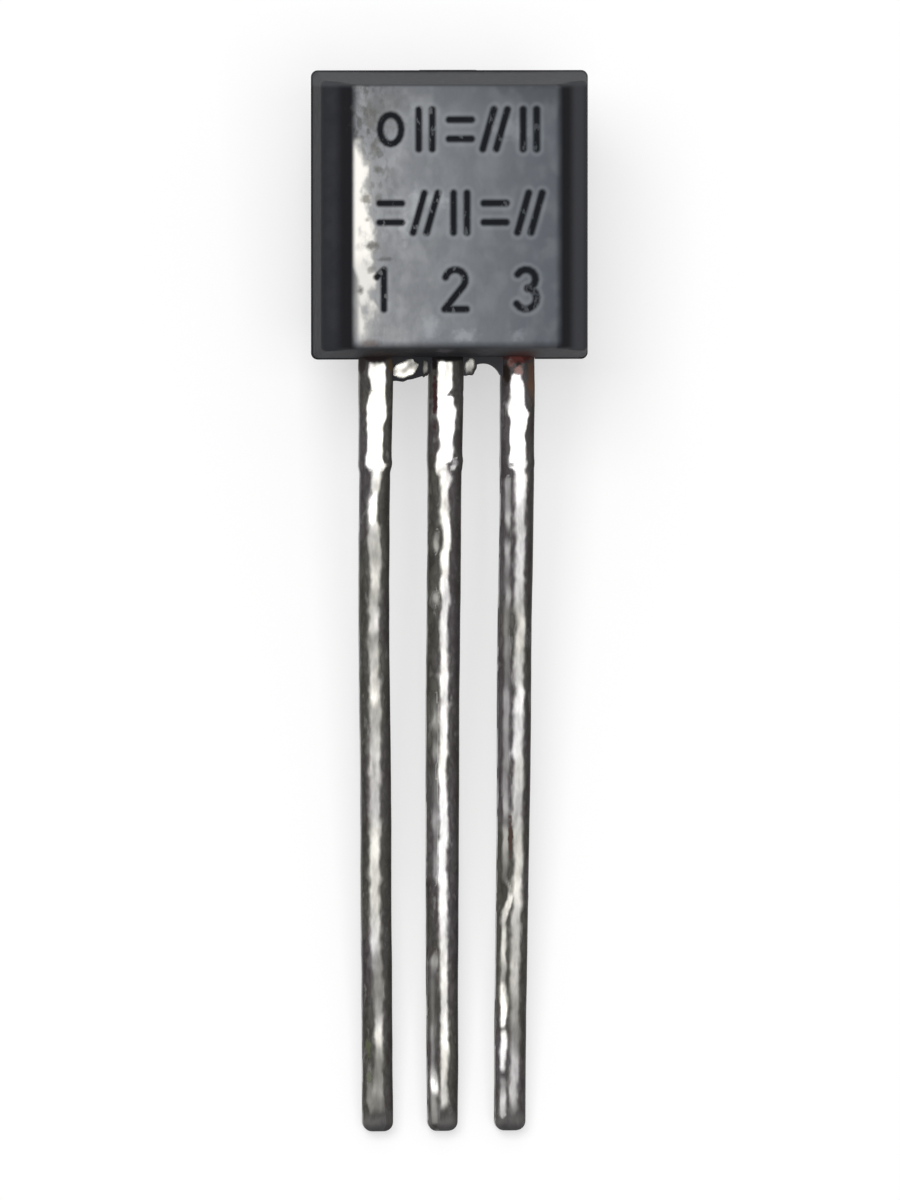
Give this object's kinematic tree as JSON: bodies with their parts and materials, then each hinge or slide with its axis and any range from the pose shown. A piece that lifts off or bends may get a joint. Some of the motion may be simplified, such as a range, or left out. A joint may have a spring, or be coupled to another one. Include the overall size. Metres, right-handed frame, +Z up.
{
  "type": "voltage regulator",
  "caption": "Small fixed voltage regulator in a half-round moulded plastic package with a flat front and three straight tinned leads in a row.",
  "frame": {"origin": "on the surface it lies on, under the centre of the whole part's box", "axes": "+Z up from the surface, +Y from the lead tips towards the package, X across the three leads with the output lead on the -X side; the flat face looks up, leaning about 9 degrees towards -Y"},
  "size_m": [0.005, 0.0188, 0.0045],
  "materials": {
    "moulded_epoxy": "semi-gloss moulded epoxy, flat face ground to a lighter grey sheen",
    "tinned_lead": "solder-dipped, lumpy and bright, with dark ends and copper showing near the package",
    "silicon_die": "polished silicon with an aluminium top",
    "die_attach": "cured silver-filled resin",
    "gold_wire": "bright drawn gold"
  },
  "bodies": {
    "root": {"package_body": "moulded_epoxy", "lead_1_output": "tinned_lead", "lead_2_ground": "tinned_lead", "lead_3_input": "tinned_lead", "regulator_die": "silicon_die", "die_attach_layer": "die_attach", "bond_wire_output": "gold_wire", "bond_wire_ground": "gold_wire", "bond_wire_input": "gold_wire"}
  },
  "joints": []
}
